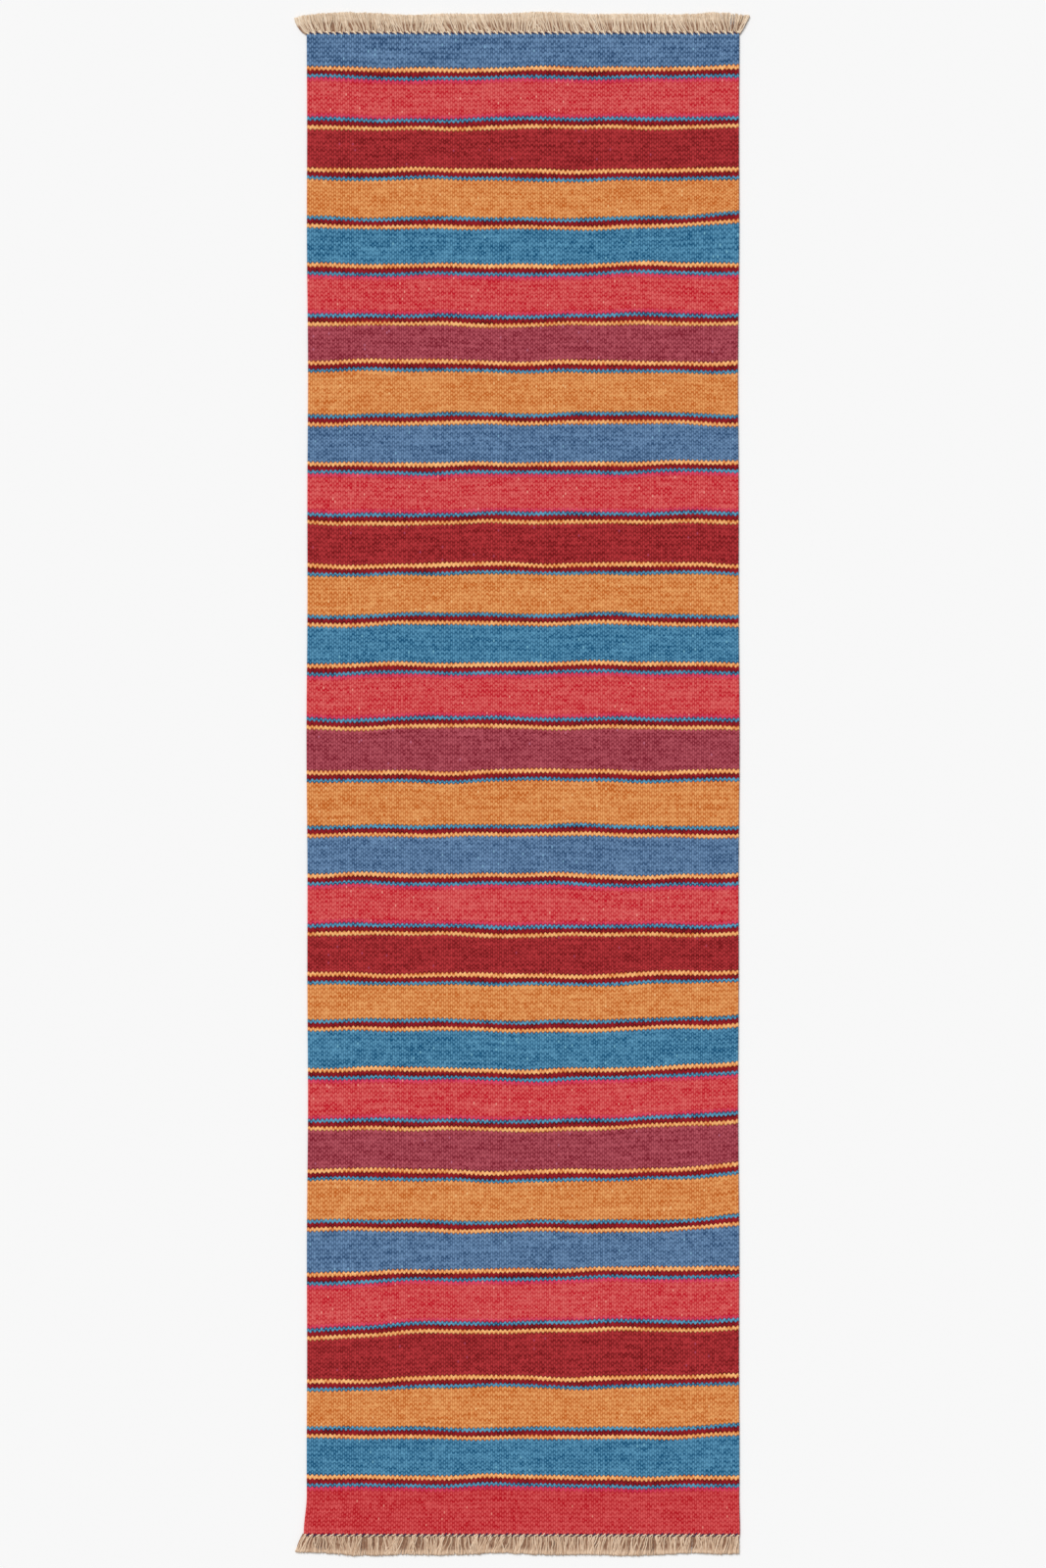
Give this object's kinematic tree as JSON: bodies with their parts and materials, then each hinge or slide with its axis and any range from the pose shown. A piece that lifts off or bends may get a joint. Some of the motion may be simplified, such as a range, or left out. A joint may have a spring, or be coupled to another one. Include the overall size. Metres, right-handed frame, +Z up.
{
  "type": "runner rug",
  "caption": "Flat-woven striped wool runner rug with knotted fringes at both ends, folding in four for storage.",
  "frame": {"origin": "on the floor, under the middle of the rug with its fringes", "axes": "+Z up, +Y along the rug towards its head end, +X across it to the right when seen from above with the head end furthest away"},
  "size_m": [0.844, 2.868, 0.004],
  "materials": {
    "steel_blue": "matt hand-spun wool",
    "rose": "matt hand-spun wool",
    "dark_red": "matt hand-spun wool",
    "orange": "matt hand-spun wool",
    "teal_blue": "matt hand-spun wool",
    "plum": "matt hand-spun wool",
    "guard_yarns": "matt hand-spun wool",
    "warp_yarn": "matt undyed wool and cotton"
  },
  "bodies": {
    "second_quarter": {"band_08_orange": "orange", "guard_08_lines": "guard_yarns", "band_09_steel_blue": "steel_blue", "guard_09_lines": "guard_yarns", "band_10_rose": "rose", "guard_10_lines": "guard_yarns", "band_11_dark_red": "dark_red", "guard_11_lines": "guard_yarns", "band_12_orange": "orange", "guard_12_lines": "guard_yarns", "band_13_teal_blue": "teal_blue", "guard_13_lines": "guard_yarns", "band_14_rose": "rose", "guard_14_lines": "guard_yarns", "band_15_plum": "plum", "second_quarter_warps": "warp_yarn"},
    "head_quarter": {"band_01_steel_blue": "steel_blue", "guard_01_lines": "guard_yarns", "band_02_rose": "rose", "guard_02_lines": "guard_yarns", "band_03_dark_red": "dark_red", "guard_03_lines": "guard_yarns", "band_04_orange": "orange", "guard_04_lines": "guard_yarns", "band_05_teal_blue": "teal_blue", "guard_05_lines": "guard_yarns", "band_06_rose": "rose", "guard_06_lines": "guard_yarns", "band_07_plum": "plum", "head_warps_and_fringe": "warp_yarn"},
    "third_quarter": {"band_16_orange": "orange", "guard_16_lines": "guard_yarns", "band_17_steel_blue": "steel_blue", "guard_17_lines": "guard_yarns", "band_18_rose": "rose", "guard_18_lines": "guard_yarns", "band_19_dark_red": "dark_red", "guard_19_lines": "guard_yarns", "band_20_orange": "orange", "guard_20_lines": "guard_yarns", "band_21_teal_blue": "teal_blue", "guard_21_lines": "guard_yarns", "band_22_rose": "rose", "guard_22_lines": "guard_yarns", "band_23_plum": "plum", "third_quarter_warps": "warp_yarn"},
    "foot_quarter": {"band_24_orange": "orange", "guard_24_lines": "guard_yarns", "band_25_steel_blue": "steel_blue", "guard_25_lines": "guard_yarns", "band_26_rose": "rose", "guard_26_lines": "guard_yarns", "band_27_dark_red": "dark_red", "guard_27_lines": "guard_yarns", "band_28_orange": "orange", "guard_28_lines": "guard_yarns", "band_29_teal_blue": "teal_blue", "guard_29_lines": "guard_yarns", "band_30_rose": "rose", "foot_warps_and_fringe": "warp_yarn"}
  },
  "joints": [
    {"name": "fold_head", "type": "hinge", "parent": "second_quarter", "child": "head_quarter", "pos_m": [0, 0.776, 0.005], "axis": [1, 0, 0], "range_deg": [0, 180]},
    {"name": "fold_middle", "type": "hinge", "parent": "second_quarter", "child": "third_quarter", "pos_m": [0, 0.016, 0.0105], "axis": [-1, 0, 0], "range_deg": [0, 180]},
    {"name": "fold_foot", "type": "hinge", "parent": "third_quarter", "child": "foot_quarter", "pos_m": [0, -0.724, 0.005], "axis": [-1, 0, 0], "range_deg": [0, 180]}
  ]
}
